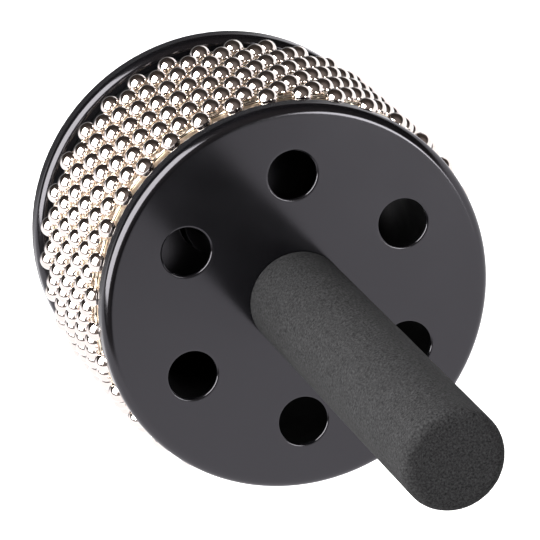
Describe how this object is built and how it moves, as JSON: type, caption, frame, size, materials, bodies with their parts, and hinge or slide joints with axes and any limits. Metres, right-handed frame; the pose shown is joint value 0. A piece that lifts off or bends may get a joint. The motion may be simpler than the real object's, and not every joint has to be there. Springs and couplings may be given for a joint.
{
  "type": "cabasa",
  "caption": "Hand-held cabasa: steel ball-chain loops turn round a textured drum between two black end plates with round openings, on a straight foam-covered handle.",
  "frame": {"origin": "centre of the rear plate's flat outer face, on which the object stands", "axes": "+Z along the drum's axis, from the rear plate to the handle; +X through the centre of one of the front plate's round openings"},
  "size_m": [0.1248, 0.1248, 0.237],
  "materials": {
    "plate_coating": "satin black powder coat",
    "core_plastic": "matt black",
    "sleeve_steel": "embossed stainless steel",
    "zinc_steel": "zinc plated",
    "chain_nickel": "polished nickel plate",
    "grip_foam": "fine closed-cell foam"
  },
  "bodies": {
    "drum": {"front_plate": "plate_coating", "rear_plate": "plate_coating", "drum_core": "core_plastic", "textured_sleeve": "sleeve_steel", "centre_spacer": "zinc_steel", "through_bolt": "zinc_steel", "bolt_washer": "zinc_steel", "handle_plug": "zinc_steel", "handle_tube": "zinc_steel", "tube_end_cap": "core_plastic", "foam_grip": "grip_foam"},
    "chain_loop_01": {"loop_01_balls": "chain_nickel", "loop_01_links": "chain_nickel"},
    "chain_loop_02": {"loop_02_balls": "chain_nickel", "loop_02_links": "chain_nickel"},
    "chain_loop_03": {"loop_03_balls": "chain_nickel", "loop_03_links": "chain_nickel"},
    "chain_loop_04": {"loop_04_balls": "chain_nickel", "loop_04_links": "chain_nickel"},
    "chain_loop_05": {"loop_05_balls": "chain_nickel", "loop_05_links": "chain_nickel"},
    "chain_loop_06": {"loop_06_balls": "chain_nickel", "loop_06_links": "chain_nickel"},
    "chain_loop_07": {"loop_07_balls": "chain_nickel", "loop_07_links": "chain_nickel"},
    "chain_loop_08": {"loop_08_balls": "chain_nickel", "loop_08_links": "chain_nickel"},
    "chain_loop_09": {"loop_09_balls": "chain_nickel", "loop_09_links": "chain_nickel"},
    "chain_loop_10": {"loop_10_balls": "chain_nickel", "loop_10_links": "chain_nickel"}
  },
  "joints": [
    {"name": "chain_loop_01_turn", "type": "hinge", "parent": "drum", "child": "chain_loop_01", "pos_m": [0, 0, 0.022], "axis": [0, 0, 1], "continuous": true},
    {"name": "chain_loop_02_turn", "type": "hinge", "parent": "drum", "child": "chain_loop_02", "pos_m": [0, 0, 0.0281], "axis": [0, 0, 1], "continuous": true},
    {"name": "chain_loop_03_turn", "type": "hinge", "parent": "drum", "child": "chain_loop_03", "pos_m": [0, 0, 0.0342], "axis": [0, 0, 1], "continuous": true},
    {"name": "chain_loop_04_turn", "type": "hinge", "parent": "drum", "child": "chain_loop_04", "pos_m": [0, 0, 0.0403], "axis": [0, 0, 1], "continuous": true},
    {"name": "chain_loop_05_turn", "type": "hinge", "parent": "drum", "child": "chain_loop_05", "pos_m": [0, 0, 0.0464], "axis": [0, 0, 1], "continuous": true},
    {"name": "chain_loop_06_turn", "type": "hinge", "parent": "drum", "child": "chain_loop_06", "pos_m": [0, 0, 0.0525], "axis": [0, 0, 1], "continuous": true},
    {"name": "chain_loop_07_turn", "type": "hinge", "parent": "drum", "child": "chain_loop_07", "pos_m": [0, 0, 0.0586], "axis": [0, 0, 1], "continuous": true},
    {"name": "chain_loop_08_turn", "type": "hinge", "parent": "drum", "child": "chain_loop_08", "pos_m": [0, 0, 0.0647], "axis": [0, 0, 1], "continuous": true},
    {"name": "chain_loop_09_turn", "type": "hinge", "parent": "drum", "child": "chain_loop_09", "pos_m": [0, 0, 0.0708], "axis": [0, 0, 1], "continuous": true},
    {"name": "chain_loop_10_turn", "type": "hinge", "parent": "drum", "child": "chain_loop_10", "pos_m": [0, 0, 0.0769], "axis": [0, 0, 1], "continuous": true}
  ],
  "couplings": [
    {"joint": "chain_loop_02_turn", "follows": "chain_loop_01_turn", "ratio": 1},
    {"joint": "chain_loop_03_turn", "follows": "chain_loop_01_turn", "ratio": 1},
    {"joint": "chain_loop_04_turn", "follows": "chain_loop_01_turn", "ratio": 1},
    {"joint": "chain_loop_05_turn", "follows": "chain_loop_01_turn", "ratio": 1},
    {"joint": "chain_loop_06_turn", "follows": "chain_loop_01_turn", "ratio": 1},
    {"joint": "chain_loop_07_turn", "follows": "chain_loop_01_turn", "ratio": 1},
    {"joint": "chain_loop_08_turn", "follows": "chain_loop_01_turn", "ratio": 1},
    {"joint": "chain_loop_09_turn", "follows": "chain_loop_01_turn", "ratio": 1},
    {"joint": "chain_loop_10_turn", "follows": "chain_loop_01_turn", "ratio": 1}
  ]
}
